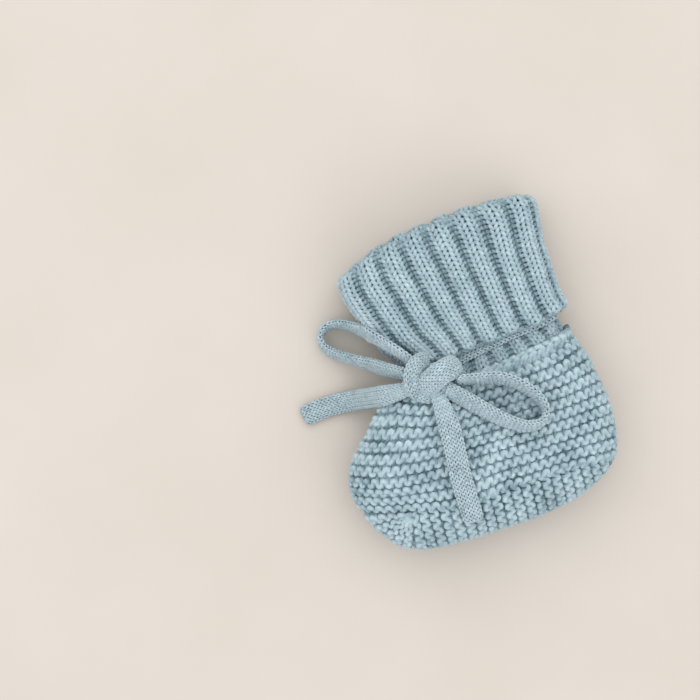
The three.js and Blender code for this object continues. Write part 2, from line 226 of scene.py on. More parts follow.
# ---------------------------------------------------------------- mesh building
class Build:
    """Tubes gathered into one mesh, with the yarn's own UVs, a value per point (random tone per stitch plus painted
    shade by depth) and a packed second UV layer.
    """

    def __init__(self):
        self.v, self.q, self.uv, self.tint, self.blocks, self.caps, self.n = [], [], [], [], [], [], 0

    def tube(self, pts, nrm, r, sides=6, closed=False, tint=None, squash=1.0):
        pts = np.asarray(pts, float)
        n = len(pts)
        if closed:
            t = np.roll(pts, -1, 0) - np.roll(pts, 1, 0)
        else:
            t = np.gradient(pts, axis=0)
        t /= np.linalg.norm(t, axis=1, keepdims=True) + 1e-12
        side = np.cross(t, nrm)
        side /= np.linalg.norm(side, axis=1, keepdims=True) + 1e-12
        nn = np.cross(side, t)
        ang = 2 * np.pi * np.arange(sides) / sides
        r = np.broadcast_to(np.asarray(r, float), (n,))
        ring = pts[:, None, :] + r[:, None, None] * (np.cos(ang)[None, :, None] * side[:, None, :] + squash * np.sin(ang)[None, :, None] * nn[:, None, :])
        base = self.n
        self.v.append(ring.reshape(-1, 3))
        self.n += n * sides
        seg = n if closed else n - 1
        i = np.arange(seg)
        j = np.arange(sides)
        I, J = np.meshgrid(i, j, indexing="ij")
        I2, J2 = (I + 1) % n, (J + 1) % sides
        quad = np.stack([base + I * sides + J, base + I * sides + J2, base + I2 * sides + J2, base + I2 * sides + J], -1).reshape(-1, 4)
        self.q.append(quad)
        step = np.linalg.norm(np.diff(pts, axis=0), axis=1)
        length = np.concatenate([[0], np.cumsum(step)])
        off = rng.random() * 50
        la = length[I] + off
        lb = np.where(I + 1 < n, length[np.minimum(I + 1, n - 1)], length[-1] + (step.mean() if closed else 0)) + off
        ja, jb = J / sides, (J + 1) / sides
        self.uv.append(np.stack([np.stack([la, ja], -1), np.stack([la, jb], -1), np.stack([lb, jb], -1), np.stack([lb, ja], -1)], 2).reshape(-1, 2))
        tt = np.zeros(n) if tint is None else np.broadcast_to(tint, (n,))
        self.tint.append(np.repeat(tt, sides))
        self.blocks.append((seg, sides))
        if not closed:
            self.caps.append(base + np.arange(sides)[::-1])
            self.caps.append(base + (n - 1) * sides + np.arange(sides))

    def make(self, name, material):
        v = metres(np.concatenate(self.v))
        v[:, 2] = np.maximum(v[:, 2], 0.0)
        q = np.concatenate(self.q)
        nq = len(q)
        caps = self.caps
        loops = np.concatenate([q.reshape(-1)] + ([np.concatenate(caps)] if caps else []))
        sizes = np.concatenate([np.full(nq, 4), np.array([len(c) for c in caps], int)]) if caps else np.full(nq, 4)
        starts = np.concatenate([[0], np.cumsum(sizes)[:-1]])
        me = bpy.data.meshes.new(name)
        me.vertices.add(len(v))
        me.vertices.foreach_set("co", v.astype(np.float32).reshape(-1))
        me.loops.add(len(loops))
        me.loops.foreach_set("vertex_index", loops.astype(np.int32))
        me.polygons.add(len(sizes))
        me.polygons.foreach_set("loop_start", starts.astype(np.int32))
        me.polygons.foreach_set("loop_total", sizes.astype(np.int32))
        me.update(calc_edges=True)
        me.polygons.foreach_set("use_smooth", np.ones(len(sizes), bool))
        a = me.attributes.new("tint", "FLOAT", "POINT")
        a.data.foreach_set("value", np.concatenate(self.tint).astype(np.float32))
        # the yarn's own map: millimetres along it, turns round it
        layer = me.uv_layers.new(name="yarn")
        uv = np.zeros((len(loops), 2), np.float32)
        uv[: nq * 4] = np.concatenate(self.uv)
        layer.data.foreach_set("uv", uv.reshape(-1))
        # a packed map in which no two faces overlap: strips of 32 segments in a grid
        K = 32
        cells = sum(-(-s // K) for s, _ in self.blocks) + 1
        g = int(math.ceil(math.sqrt(cells * 4)))
        gx = max(1, g // 4)
        gy = -(-cells // gx)
        pk = np.zeros((len(loops), 2), np.float32)
        pos, cell = 0, 0
        for seg, sides in self.blocks:
            I, J = np.meshgrid(np.arange(seg), np.arange(sides), indexing="ij")
            c = cell + I // K
            li = I % K
            cx, cy = c % gx, c // gx
            x0 = (cx + 0.03 + 0.94 * li / K) / gx
            x1 = (cx + 0.03 + 0.94 * (li + 1) / K) / gx
            y0 = (cy + 0.06 + 0.88 * J / sides) / gy
            y1 = (cy + 0.06 + 0.88 * (J + 1) / sides) / gy
            block = np.stack([np.stack([x0, y0], -1), np.stack([x0, y1], -1), np.stack([x1, y1], -1), np.stack([x1, y0], -1)], 2)
            pk[pos : pos + seg * sides * 4] = block.reshape(-1, 2)
            pos += seg * sides * 4
            cell += -(-seg // K)
        cx, cy = cell % gx, cell // gx
        if caps:
            rest = len(loops) - pos
            ang = np.linspace(0, 2 * np.pi, rest)
            pk[pos:, 0] = (cx + 0.5 + 0.3 * np.cos(ang)) / gx
            pk[pos:, 1] = (cy + 0.5 + 0.3 * np.sin(ang)) / gy
        me.uv_layers.new(name="OFBake").data.foreach_set("uv", pk.reshape(-1))
        me.uv_layers["yarn"].active = True
        me.uv_layers["yarn"].active_render = True
        me.materials.append(material)
        ob = bpy.data.objects.new(name, me)
        bpy.context.scene.collection.objects.link(ob)
        return ob


class Surface:
    """A grid of points, rows by columns, read anywhere by interpolation. u runs 0 to 1 along a row, v is the row's number."""

    def __init__(self, grid, v0, v1, closed, flip=False):
        self.g = np.asarray(grid, float)
        self.v0, self.v1, self.closed = v0, v1, closed
        g = self.g
        if closed:
            du = np.roll(g, -1, 1) - np.roll(g, 1, 1)
        else:
            du = np.gradient(g, axis=1)
        dv = np.gradient(g, axis=0)
        n = np.cross(du, dv)
        if flip:
            n = -n
        ln = np.linalg.norm(n, axis=2, keepdims=True)
        self.nm = n / np.maximum(ln, 1e-9)

    def at(self, u, v, n=0.0):
        nv, nu = self.g.shape[:2]
        y = np.clip((v - self.v0) / (self.v1 - self.v0), 0, 1) * (nv - 1)
        y0 = np.minimum(y.astype(int), nv - 2)
        fy = (y - y0)[:, None]
        if self.closed:
            x = (u % 1.0) * nu
            x0 = x.astype(int) % nu
            x1 = (x0 + 1) % nu
            fx = (x - np.floor(x))[:, None]
        else:
            x = np.clip(u, 0, 1) * (nu - 1)
            x0 = np.minimum(x.astype(int), nu - 2)
            x1 = x0 + 1
            fx = (x - x0)[:, None]

        def mix(a):
            return (a[y0, x0] * (1 - fx) + a[y0, x1] * fx) * (1 - fy) + (a[y0 + 1, x0] * (1 - fx) + a[y0 + 1, x1] * fx) * fy

        p, nm = mix(self.g), mix(self.nm)
        nm /= np.linalg.norm(nm, axis=1, keepdims=True) + 1e-12
        return p + nm * np.asarray(n)[..., None] if np.ndim(n) else p + nm * n, nm

    def row_length(self, v):
        u = np.linspace(0, 1, 400)
        p, _ = self.at(u, np.full(400, float(v)))
        return np.linalg.norm(np.diff(p, axis=0), axis=1).sum()


def resample(p, n, closed=False):
    p = np.asarray(p, float)
    if closed:
        p = np.vstack([p, p[:1]])
    d = np.concatenate([[0], np.cumsum(np.linalg.norm(np.diff(p, axis=0), axis=1))])
    s = np.linspace(0, d[-1], n + 1)[:-1] if closed else np.linspace(0, d[-1], n)
    return np.stack([np.interp(s, d, p[:, k]) for k in range(3)], 1)


def catmull(pts, n, closed=False):
    """Centripetal curve through points."""
    P = np.asarray(pts, float)
    out = []
    N = len(P)
    segs = N if closed else N - 1
    per = max(2, n // segs)
    for i in range(segs):
        p1, p2 = P[i % N], P[(i + 1) % N]
        p0 = P[(i - 1) % N] if closed or i > 0 else 2 * p1 - p2
        p3 = P[(i + 2) % N] if closed or i + 2 < N else 2 * p2 - p1
        t0 = 0.0
        t1 = t0 + max(1e-6, np.linalg.norm(p1 - p0)) ** 0.5
        t2 = t1 + max(1e-6, np.linalg.norm(p2 - p1)) ** 0.5
        t3 = t2 + max(1e-6, np.linalg.norm(p3 - p2)) ** 0.5
        t = np.linspace(t1, t2, per, endpoint=False)[:, None]
        a1 = (t1 - t) / (t1 - t0) * p0 + (t - t0) / (t1 - t0) * p1
        a2 = (t2 - t) / (t2 - t1) * p1 + (t - t1) / (t2 - t1) * p2
        a3 = (t3 - t) / (t3 - t2) * p2 + (t - t2) / (t3 - t2) * p3
        b1 = (t2 - t) / (t2 - t0) * a1 + (t - t0) / (t2 - t0) * a2
        b2 = (t3 - t) / (t3 - t1) * a2 + (t - t1) / (t3 - t1) * a3
        out.append((t2 - t) / (t2 - t1) * b1 + (t - t1) / (t2 - t1) * b2)
    out = np.concatenate(out)
    return out if closed else np.vstack([out, P[-1:]])


def table(t, x):
    t = np.asarray(t, float)
    return np.interp(x, t[:, 0], t[:, 1])


def smoothstep(x):
    x = np.clip(x, 0, 1)
    return x * x * (3 - 2 * x)


# ---------------------------------------------------------------- the foot's form, as in the CAD
FOOT_OUTLINE = [[-27.5, 10.2], [-33.8, 5.8], [-39.2, 0.2], [-45.6, -6.8], [-50.8, -12.9], [-53.1, -19.1], [-52.7, -24.2],
                [-50.9, -29.6], [-46.9, -37.9], [-41.2, -43.9], [-33.8, -47.0], [-21.8, -48], [-4.6, -48], [11.4, -47.2], [22.9, -44.4],
                [31.0, -41.2], [36.6, -37.4], [40.2, -31.6], [41.5, -24.5], [41.5, -16], [41.2, -10.4], [39.4, 0], [36.4, 8.7], [32.0, 15.0],
                [20, 17.2], [0, 16.6], [-18, 14.6]]
FC = np.array([-4.0, -17.0])
MID, TOP, BOT, RT, RB = 15.6, 16.0, 16.5, 2.6, 4.0
_o = catmull([[a, b, 0] for a, b in FOOT_OUTLINE], 600, True)[:, :2]
_th = np.arctan2(_o[:, 1] - FC[1], _o[:, 0] - FC[0])
_rr = np.hypot(_o[:, 0] - FC[0], _o[:, 1] - FC[1])
_k = np.argsort(_th)
_th, _rr = _th[_k], _rr[_k]
_th = np.concatenate([_th - 2 * np.pi, _th, _th + 2 * np.pi])
_rr = np.tile(_rr, 3)


def rho(x, y, off=0.0):
    dx, dy = np.asarray(x) - FC[0], np.asarray(y) - FC[1]
    return np.hypot(dx, dy) / (np.interp(np.arctan2(dy, dx), _th, _rr) + off)


def z_top(x, y, off=0.0):
    r = np.clip(rho(x, y, off), 0, 1)
    return MID + (TOP + off) * (1 - r ** RT) ** (1 / RT)


def z_bot(x, y, off=0.0):
    r = np.clip(rho(x, y, off), 0, 1)
    return np.maximum(MID - (BOT + off) * (1 - r ** RB) ** (1 / RB), -off)


SEAM = np.array([[44, -35.9], [37.1, -35.7], [33.9, -35.2], [25.4, -33.9], [15.6, -33.6], [5.8, -34.2], [-1.8, -33.6],
                 [-11, -35.2], [-22, -34.6], [-32.6, -32.2], [-40, -29.0], [-47, -24.6], [-56, -20.0]])[::-1]
ANKLE = np.array([[-30, 14.5], [-24.5, 9.6], [-13.4, 4.6], [5.3, 5.4], [25.8, 7.6], [33.5, 11.4], [40, 14.4]])


def seam_y(x):
    return np.interp(x, SEAM[:, 0], SEAM[:, 1])


def ankle_y(x):
    return np.interp(x, ANKLE[:, 0], ANKLE[:, 1])


PITCH = 3.52          # one garter ridge
STITCH = 3.22          # one garter stitch
KROWS = 11.6          # ridges from the seam to the ankle band
OFF = -1.3


def side_y(x, v):
    level = -34.0 + PITCH * v
    y = level + (seam_y(np.clip(x, -33, 60)) + 34.0) * np.clip(1 - v / 3.0, 0, 1)
    xb = np.interp(v, [-0.6, 0.6, 1.7, 3.2, 5.3, 7.4, 9.5, 11.7], [-36.5, -38.0, -37.6, -36.0, -32.5, -28.0, -24.0, -21.0])
    sl = np.interp(v, [-0.6, 1.0, 3.2, 6.4, 11.2], [0.36, 0.36, 0.33, 0.30, 0.27])
    w = 4.0
    y = y + sl * w * np.log1p(np.exp(np.clip((xb - x) / w, -30, 30)))
    f = np.clip(v / KROWS, 0, 1.1) ** 3.2
    return y * (1 - f) + (ankle_y(x) + (v - KROWS) * PITCH) * f


def side_row(v, M):
    xs = np.arange(44.0, -58.0, -0.2)
    ys = side_y(xs, v)
    r = rho(xs, ys, OFF)
    inside = np.where(r < 1)[0]
    a, b = inside[0], inside[-1]
    xa = np.interp(1.0, [r[a], r[a - 1]], [xs[a], xs[a - 1]]) if a > 0 else xs[a]
    xb = np.interp(1.0, [r[b], r[b + 1]], [xs[b], xs[b + 1]]) if b + 1 < len(xs) else xs[b]
    t = (1 - np.cos(np.pi * np.linspace(0, 1, 220))) / 2
    t = 0.5 * t + 0.5 * (0.5 - np.cos(np.pi * t) / 2)
    x = xa + (xb - xa) * t
    y = side_y(x, v)
    sink = smoothstep((v - (KROWS - 2.2)) / 2.2)
    n = np.stack([x, y, z_top(x, y, OFF) - 3.3 * sink * (1 - rho(x, y, OFF).clip(0, 1) ** 6)], 1)
    f = np.stack([x, y, z_bot(x, y, OFF) + 1.6 * sink * (1 - rho(x, y, OFF).clip(0, 1) ** 6)], 1)[::-1]
    loop = np.vstack([n, f[1:-1]])
    return resample(loop, M, True)


LO = np.array([6.8, 15.5])
TILT = math.radians(8.7)
LE = np.array([-math.sin(TILT), math.cos(TILT)])
LP = np.array([math.cos(TILT), math.sin(TILT)])
CUFF_LEFT = [[-4, 26.0], [2, 26.8], [6, 29.2], [12.8, 33.2], [24, 35.4], [34, 37.1], [41, 36.6], [46, 35.0]]
CUFF_RIGHT = [[-4, 29.0], [0, 29.9], [9.8, 30.8], [22.9, 32.4], [35.2, 36.1], [40, 36.1], [46, 34.8]]
LEG_LEFT = [[-18, 37], [-12, 31.5], [-7, 27.4], [-3, 23.6], [2, 23.2], [6, 25.4], [12.8, 29.2], [24, 31.5], [34, 33.2], [41, 32.7], [46, 31.2]]
LEG_RIGHT = [[-18, 31], [-12, 29.3], [-7, 26.6], [-3, 25.2], [0, 25.8], [9.8, 27.0], [22.9, 28.6], [35.2, 32.2], [40, 32.2], [46, 31.0]]
LEG_HALF = [[-18, 13.2], [-11, 12.0], [-6, 9.6], [-2, 8.75], [46, 8.75]]
LEG_Z = [[-18, 14.6], [-11, 14.0], [-6, 12.9], [-2, 12.4], [46, 12.4]]
CUFF_TOP = np.array([[-40, 49.0], [-34.5, 51.0], [-24, 55.6], [-11.5, 58.4], [5.7, 60.4], [20, 61.1], [30, 60.9], [35.8, 59.6], [42, 58.2]])
CUFF_BOT = np.array([[-40, 22.5], [-26, 18.6], [-21, 16.0], [-14.5, 14.3], [-3, 13.9], [10.1, 14.3], [23.7, 16.1], [36, 18.3], [42, 19.4]])
CUFF_HALF, CUFF_ROUND, LEG_MID = 12.1, 3.4, 12.4


def to_leg(q):
    d = np.asarray(q, float) - LO
    return np.stack([d @ LP, d @ LE], -1)


_ct, _cb = to_leg(CUFF_TOP), to_leg(CUFF_BOT)
_al = to_leg(ANKLE)


def s_top(p):
    return np.interp(p, _ct[:, 0], _ct[:, 1])


def s_bot(p):
    return np.interp(p, _cb[:, 0], _cb[:, 1])


def s_ankle(p):
    return np.interp(p, _al[:, 0], _al[:, 1])


def ring_angles(n, left, right, half, s, rnd):
    """Angles at equal steps round the flattened ring, starting at the heel side's edge and going over the near face."""
    a = np.linspace(0, 2 * np.pi, 4001)
    c, d = np.cos(a), np.sin(a)
    A = np.where(c < 0, table(left, s), table(right, s))
    x = A * np.sign(c) * np.abs(c) ** (2 / rnd)
    z = half * np.sign(d) * np.abs(d) ** (2 / rnd)
    L = np.concatenate([[0], np.cumsum(np.hypot(np.diff(x), np.diff(z)))])
    return np.interp(np.linspace(0, L[-1], n + 1)[:-1], L, a), L[-1]


def ring_point(a, s, left, right, half, mid, off, rnd=CUFF_ROUND):
    c, d = np.cos(a), np.sin(a)
    A = np.where(c < 0, table(left, s), table(right, s)) + off
    B = table(half, s) + off
    p = A * np.sign(c) * np.abs(c) ** (2 / rnd)
    z = table(mid, s) + B * np.sign(d) * np.abs(d) ** (2 / rnd)
    return p, z


def leg_xyz(p, s, z):
    return np.stack([LO[0] + LP[0] * p + LE[0] * s, LO[1] + LP[1] * p + LE[1] * s, z], -1)


# the foot's last rows draw in to the ankle
_ra, _ = ring_angles(300, LEG_LEFT, LEG_RIGHT, 10.0, -5, CUFF_ROUND)
_pp, _ = ring_point(_ra, np.full(300, -6.0), LEG_LEFT, LEG_RIGHT, LEG_HALF, LEG_Z, 0.0)
_ss = np.clip(s_ankle(_pp) - 0.6, -9, 0)
_pp, _zz = ring_point(_ra, _ss, LEG_LEFT, LEG_RIGHT, LEG_HALF, LEG_Z, 0.2)
ANKLE_RING = leg_xyz(_pp, _ss, _zz)


def closed_row(v):
    row = side_row(v, 300)
    w = smoothstep((v - (KROWS - 1.0)) / 1.3)
    return row * (1 - w) + ANKLE_RING * w


vs = np.arange(-0.75, KROWS + 0.76, 0.25)
# the foot's rows stacked into one surface; the soft unevenness of the hand-flattened fabric is added later, row by row,
# by bumps()
gridA = np.stack([closed_row(v) for v in vs])
surfA = Surface(gridA, vs[0], vs[-1], True)
if surfA.nm[20, 75, 2] < 0:
    surfA = Surface(gridA, vs[0], vs[-1], True, flip=True)


def bumps(p, amp):
    """Slow undulation, in millimetres, from the point's place."""
    return amp * (np.sin(p[:, 0] * 0.31 + 1.3) * np.sin(p[:, 1] * 0.27 + 0.4) + 0.6 * np.sin(p[:, 0] * 0.13 - p[:, 1] * 0.21) * np.cos(p[:, 2] * 0.3))


def per_stitch(n, scale, k=1):
    a = rng.normal(0, scale, (n,))
    return a


def garter_row(build, surf, v, n_st, kind, seg=14, r=0.84, phase=0.0, closed=True, crease=None, end=0.0, amp=1.0, cut=0):
    """One course. kind 0: its heads stand in front on ridge v and its feet sink below it; kind 1: feet in front, heads behind above it."""
    if closed:
        t = np.arange(n_st * seg) / seg
    else:
        t = np.linspace(-end + cut, n_st + end - cut, max(8, int((n_st + 2 * end - 2 * cut) * seg)))
    idx = np.floor(t + 0.5).astype(int) % n_st
    jx, jy, jn = rng.normal(0, 0.035, n_st + 1), rng.normal(0, 0.030, n_st + 1), rng.normal(0, 0.07, n_st + 1)
    c2, s4 = np.cos(2 * np.pi * t), np.sin(4 * np.pi * t)
    x = t + 0.070 * s4 + jx[idx] * np.abs(c2)
    h = 0.265
    if kind == 0:
        y = v - 0.25 + (0.25 + h) * c2
        n = 0.90 * c2 - 0.05
    else:
        y = v + 0.25 + (0.25 + h) * c2
        n = -0.90 * c2 - 0.05
    y = y + jy[idx] * 0.6
    n = n + jn[idx] + 0.0
    if closed:
        u = (x + phase) / n_st
    else:
        u = x / n_st
    n = n * amp
    p0, nm = surf.at(u, np.clip(y, surf.v0 + (0.02 if closed else 0.8), surf.v1 - 0.02))
    n = n + bumps(p0, 0.28)
    if crease is not None:
        n = n + crease(u, y, p0)
    p = p0 + nm * n[:, None]
    rr = r * (1 + 0.06 * np.cos(2 * np.pi * t * (1 if kind == 0 else -1)) * (1 if kind == 0 else 1) + rng.normal(0, 0.025, n_st + 1)[idx])
    tint = np.clip(rng.normal(0.0, 0.035, n_st + 1)[idx], -0.1, 0.1)
    # painted shade: what lies deeper in the fabric is coloured darker, on top of the random tone per stitch above
    tint = tint + 0.185 * (n - 0.42)
    build.tube(p, nm, rr, 7, closed, tint)


def creaseA(u, y, p0):
    c = -0.5 * np.exp(-((y + 0.3) / 0.42) ** 2)
    c += -0.5 * np.exp(-((np.minimum(u % 1, 1 - u % 1)) * 200 / 1.6) ** 2)
    return c


ridges = np.concatenate([np.arange(0.25, KROWS - 1.1, 1.0), [KROWS - 0.58, KROWS - 0.02]])
foot_a, foot_b = Build(), Build()
for k, v in enumerate(ridges):
    L = surfA.row_length(v)
    n_st = int(round(L / STITCH))
    ph = rng.random()
    tgt = foot_a if k < len(ridges) / 2 else foot_b
    garter_row(tgt, surfA, v, n_st, 0, phase=ph, crease=creaseA)
    garter_row(tgt, surfA, v, n_st, 1, phase=ph, crease=creaseA, amp=0.35 if k >= len(ridges) - 2 else 1.0)


# ---------------------------------------------------------------- the sole strip and the toe's fan
P0 = np.array([-34.5, -33.0])
_dx, _dy = _o[:, 0] - P0[0], _o[:, 1] - P0[1]
_ph = np.arctan2(_dy, _dx) % (2 * np.pi)
_pr = np.hypot(_dx, _dy)
_q = np.argsort(_ph)
_ph, _pr = _ph[_q], _pr[_q]
low = _o[_o[:, 1] < -20]
low = low[np.argsort(low[:, 0])]


def outline_low(x):
    # lowest outline point over x
    m = low[:, 1] < -30
    return np.interp(x, low[m][:, 0], low[m][:, 1])


W_STRAIGHT = 20.0     # ridges from the heel end to the toe end of the seam
X_HEEL, X_TOE = 38.6, -33.2
FAN = 6.0             # ridges round the toe


def strip_row(w, M, r0=0.9):
    if w <= W_STRAIGHT:
        x = X_HEEL + (X_TOE - X_HEEL) * w / W_STRAIGHT
        s = np.array([x, seam_y(x)])
        o = np.array([x, outline_low(x)])
        # ridges lean a little at the heel end
        s = s + np.array([-0.9, 0]) * np.exp(-w / 3)
    else:
        phi = math.radians(270 - (w - W_STRAIGHT) / FAN * 106)
        R = np.interp(phi % (2 * np.pi), _ph, _pr)
        d = np.array([math.cos(phi), math.sin(phi)])
        blend_in = min(1.0, (w - W_STRAIGHT) / 1.0)
        s = P0 + d * r0 * blend_in + (np.array([X_TOE, seam_y(X_TOE)]) - P0) * (1 - blend_in)
        o = P0 + d * R
        if blend_in < 1:
            o = o * blend_in + np.array([X_TOE, outline_low(X_TOE)]) * (1 - blend_in)
    tau = np.linspace(0, 1, 80)
    q = 1 - (1 - tau) ** 2.2
    xy = s[None, :] + (o - s)[None, :] * q[:, None]
    # pull the outer end onto the shrunken outline
    r = rho(xy[:, 0], xy[:, 1], OFF)
    k = np.where(r > 1, 1 / r, 1)
    xy = FC + (xy - FC) * k[:, None]
    n = np.column_stack([xy, z_top(xy[:, 0], xy[:, 1], OFF)])
    f = np.column_stack([xy, z_bot(xy[:, 0], xy[:, 1], OFF)])[::-1]
    return resample(np.vstack([n, f[1:]]), M)


ws = np.arange(-0.5, W_STRAIGHT + FAN + 0.51, 0.25)
gridB = np.stack([strip_row(max(0.0, min(w, W_STRAIGHT + FAN)) if w < 0 else w, 140) for w in ws])
gridB[0] = gridB[2] + (gridB[2] - gridB[4]) * 1.0
gridB[1] = (gridB[0] + gridB[2]) / 2
surfB = Surface(gridB, ws[0], ws[-1], False)
if surfB.nm[30, 10, 2] < 0:
    surfB = Surface(gridB, ws[0], ws[-1], False, flip=True)


def creaseB(L):
    def f(u, y, p0):
        d = np.minimum(u, 1 - u) * L
        return -0.6 * np.exp(-(d / 1.3) ** 2)
    return f


sole_a, sole_b = Build(), Build()
for i in range(int(W_STRAIGHT + FAN)):
    w = i + 0.5
    L = surfB.row_length(w)
    fan = w > W_STRAIGHT
    u0 = 0.0
    n_st = max(6, int(round(L / STITCH)))
    tgt = sole_a if i < (W_STRAIGHT + FAN) / 2 else sole_b
    # every other ridge of the fan starts further out
    cut = 0 if not fan else (0.6 if i % 2 else 0.0)
    for kind in (0, 1):
        garter_row(tgt, surfB, w, n_st, kind, closed=False, crease=creaseB(L), r=0.84 if not fan else 0.82, end=0.28, cut=cut, amp=0.3 if i == 0 and kind == 0 else 1.0)


# ---------------------------------------------------------------- ankle band, leg and cuff
CH = [[-50, CUFF_HALF], [60, CUFF_HALF]]
CM = [[-50, LEG_MID], [60, LEG_MID]]
NU = 288
NST = 72              # stitches round: eighteen ribs of two knit and two purl
ROW = 1.74            # one row of the cuff
angC, _ = ring_angles(NU, CUFF_LEFT, CUFF_RIGHT, CUFF_HALF, 22, CUFF_ROUND)

# the cuff: from its free edge up the outside, over the fold, and down inside the leg
rows = []
pb, _ = ring_point(angC, np.full(NU, 0.0), CUFF_LEFT, CUFF_RIGHT, CH, CM, 0)
pt, _ = ring_point(angC, np.full(NU, 42.0), CUFF_LEFT, CUFF_RIGHT, CH, CM, 0)
far_up = 1.5 * np.clip(-np.sin(angC), 0, 1) ** 0.5 - 0.6 * np.clip(np.sin(angC), 0, 1) ** 0.5
sb, st = s_bot(pb), s_top(pt) + far_up
sb = sb - 0.5 * np.clip(-np.sin(angC), 0, 1)
# small waves in the free edge
sb = sb + 0.35 * np.sin(angC * 9 + 0.7) + 0.25 * np.sin(angC * 5)
N_OUT = 17
FOLD_R = 1.75
path_pts = []
for f in np.linspace(0, 1, 40):
    s = sb + (st - FOLD_R - 0.6 - sb) * f
    flare = -0.9 + 0.9 * smoothstep(1 - f * 7) - 0.0
    p, z = ring_point(angC, s, CUFF_LEFT, CUFF_RIGHT, CH, CM, flare)
    path_pts.append(leg_xyz(p, s, z))
for f in np.linspace(0, 1, 10)[1:]:
    th = math.pi * f
    s = st - FOLD_R - 0.6 + FOLD_R * math.sin(th)
    off = -0.9 - FOLD_R * (1 - math.cos(th))
    p, z = ring_point(angC, s, CUFF_LEFT, CUFF_RIGHT, CH, CM, off)
    path_pts.append(leg_xyz(p, s, z))
for f in np.linspace(0, 1, 24)[1:]:
    s = st - FOLD_R - 0.6 - 26.0 * f
    p, z = ring_point(angC, s, CUFF_LEFT, CUFF_RIGHT, CH, CM, -0.9 - 2 * FOLD_R - 1.1 * smoothstep(f * 2))
    path_pts.append(leg_xyz(p, s, z))
col = np.stack(path_pts)              # steps, columns, 3
out = np.stack([resample(col[:, j], 140) for j in range(NU)], 1)
lens = np.linalg.norm(np.diff(out, axis=0), axis=2).sum(0).mean()
V_END = lens / ROW
V_FOLD = np.linalg.norm(np.diff(col[:45], axis=0), axis=2).sum(0).mean() / ROW
surfC = Surface(out, 0, V_END, True)
if surfC.nm[20, NU // 4, 2] < 0:
    surfC = Surface(out, 0, V_END, True, flip=True)


def rib_row(build, surf, v, n_st, r, relief, seg=12, H=1.26, B=0.30, d=0.36, squeeze=0.34, sides=6, dv=0.0, edge=0.0):
    t = np.arange(n_st * seg) / seg
    st_i = np.floor(t).astype(int) % n_st
    knit = np.where((st_i % 4) < 2, 1.0, -1.0)
    # soften the change between knit and purl at the stitch boundary
    fr = t - np.floor(t)
    prev = np.where(((st_i - 1) % 4) < 2, 1.0, -1.0)
    nxt = np.where(((st_i + 1) % 4) < 2, 1.0, -1.0)
    k = np.where(fr < 0.18, knit * (0.5 + fr / 0.36) + prev * (0.5 - fr / 0.36), np.where(fr > 0.82, knit * (0.5 + (1 - fr) / 0.36) + nxt * (0.5 - (1 - fr) / 0.36), knit))
    phi = np.pi * (t - 1) / 2
    jx, jy, jn = (rng.normal(0, sgm, n_st)[st_i] for sgm in (0.03, 0.035, 0.045))
    x = t + B * np.sin(4 * np.pi * t) + squeeze * np.sin(phi) + jx * np.sin(np.pi * fr) ** 2
    y = v - 0.5 * H * np.cos(2 * np.pi * t) + jy * np.sin(np.pi * fr) ** 2
    n = -d * np.cos(4 * np.pi * t) * k + relief * np.clip(1.35 * np.cos(phi), -1, 1) + jn * np.sin(np.pi * fr) ** 2
    u = x / n_st
    p0, nm = surf.at(u, np.clip(y, surf.v0, surf.v1) + dv)
    n = n + bumps(p0, 0.16)
    p = p0 + nm * n[:, None]
    # random tone per stitch plus painted shade: what lies deeper in the rib is coloured darker
    tint = rng.normal(0, 0.03, n_st)[st_i] + 0.11 * (n - 0.70)
    build.tube(p, nm, r * (1 + rng.normal(0, 0.03, n_st)[st_i] * 1.0), sides, True, tint)


cuff_a, cuff_b, cuff_c = Build(), Build(), Build()
v = 0.95
i = 0
while v < V_END - 0.8:
    tgt = cuff_a if i < 12 else (cuff_b if i < 25 else cuff_c)
    rib_row(tgt, surfC, v, NST, 0.72, 1.15 - 0.70 * math.exp(-(((v - V_FOLD) / 2.2) ** 2)))
    v += 1.0
    i += 1
# bound-off edge: a chain lying along the free edge
t = np.arange(NST * 12) / 12
for sgn in (1, -1):
    x = t + 0.16 * np.sin(2 * np.pi * t)
    p0, nm = surfC.at(x / NST, 0.30 + 0.16 * sgn * np.cos(2 * np.pi * t) + 0 * t)
    phi = np.pi * (t - 1) / 2
    nn = 0.30 * sgn * np.sin(2 * np.pi * t) + 0.45 * np.clip(1.2 * np.cos(phi), -1, 1)
    cuff_a.tube(p0 + nm * (nn - 0.25)[:, None], nm, 0.55, 6, True, -0.02)

# the ankle band, in the same rib, drawn in by the tie
NUA = 288
angA, _ = ring_angles(NUA, LEG_LEFT, LEG_RIGHT, 9.5, -4, CUFF_ROUND)
pa, _ = ring_point(angA, np.full(NUA, -9.0), LEG_LEFT, LEG_RIGHT, LEG_HALF, LEG_Z, 0)
sa = np.minimum(s_ankle(pa) - 2.4, -6.0 - 2.5 * np.clip(-np.cos(angA), 0, 1) ** 4)
cols = []
for f in np.linspace(0, 1, 40):
    s = sa + (9.0 - sa) * f
    p, z = ring_point(angA, s, LEG_LEFT, LEG_RIGHT, LEG_HALF, LEG_Z, -0.7 - 2.4 * (1 - smoothstep(f / 0.30)))
    dip = 0.9 * np.exp(-((s + 0.5) / 3.0) ** 2)
    p2, z2 = ring_point(angA, s, LEG_LEFT, LEG_RIGHT, LEG_HALF, LEG_Z, -0.7 - 0.9)
    m = np.exp(-((s + 0.5) / 3.0) ** 2)
    cols.append(leg_xyz(p * (1 - m) + p2 * m, s, z * (1 - m) + z2 * m))
gridD = np.stack(cols)
lenD = np.linalg.norm(np.diff(gridD, axis=0), axis=2).sum(0).mean()
rowsD = lenD / 1.74
surfD = Surface(gridD, 0, rowsD, True)
if surfD.nm[20, NUA // 4, 2] < 0:
    surfD = Surface(gridD, 0, rowsD, True, flip=True)
band = Build()
v = 0.6
while v < rowsD - 0.7:
    rib_row(band, surfD, v, 72, 0.66, 0.62, squeeze=0.26, d=0.34)
    v += 1.0
